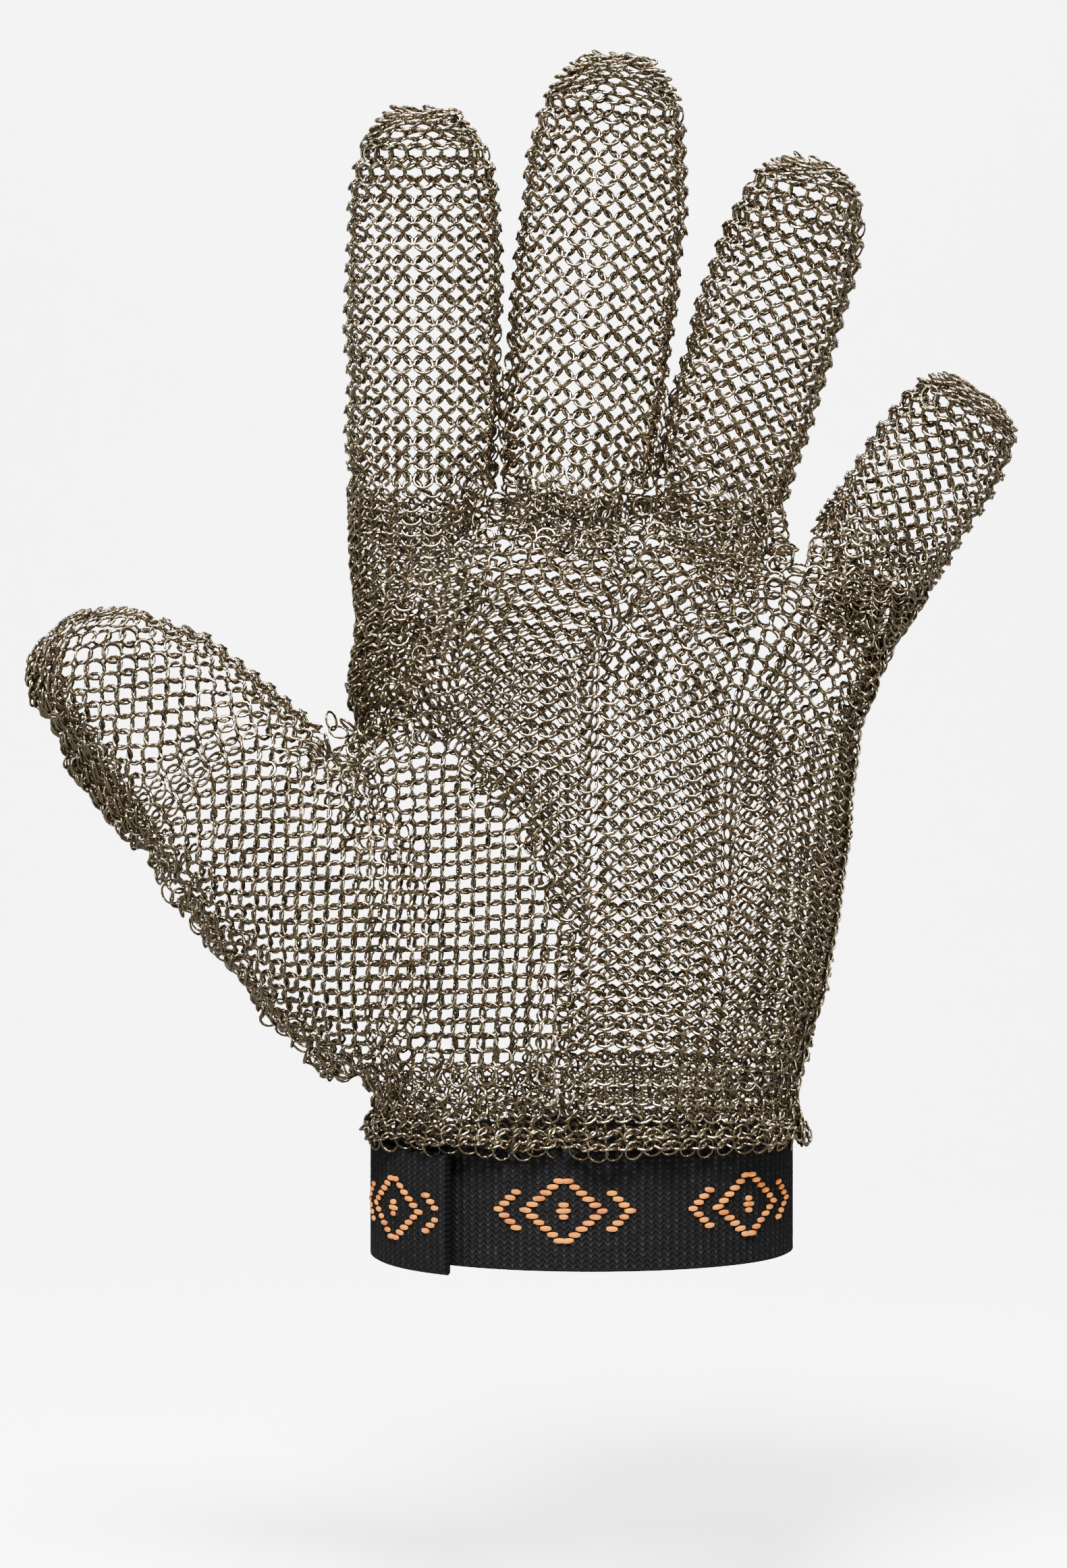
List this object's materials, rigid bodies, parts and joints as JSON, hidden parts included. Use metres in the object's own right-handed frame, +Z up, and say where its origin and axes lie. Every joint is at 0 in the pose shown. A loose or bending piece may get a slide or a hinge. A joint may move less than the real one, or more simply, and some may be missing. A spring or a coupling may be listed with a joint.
{
  "type": "ring mesh glove",
  "caption": "Ring mesh safety glove in its worn form, palm to the front and fingers up, held at the wrist by a woven strap.",
  "frame": {"origin": "middle of the wrist opening, level with the strap's lower edge", "axes": "+Z up along the hand to the middle fingertip, palm faces -Y, thumb at -X"},
  "size_m": [0.1745, 0.0534, 0.215],
  "materials": {
    "mail": "bright wire",
    "webbing": "woven, matte",
    "hook_tape": "matte"
  },
  "bodies": {
    "root": {"palm_mail": "mail", "back_mail": "mail", "thumb_mail": "mail", "index_mail": "mail", "middle_mail": "mail", "ring_mail": "mail", "little_mail": "mail", "wrist_strap": "webbing", "hook_patch": "hook_tape"}
  },
  "joints": []
}
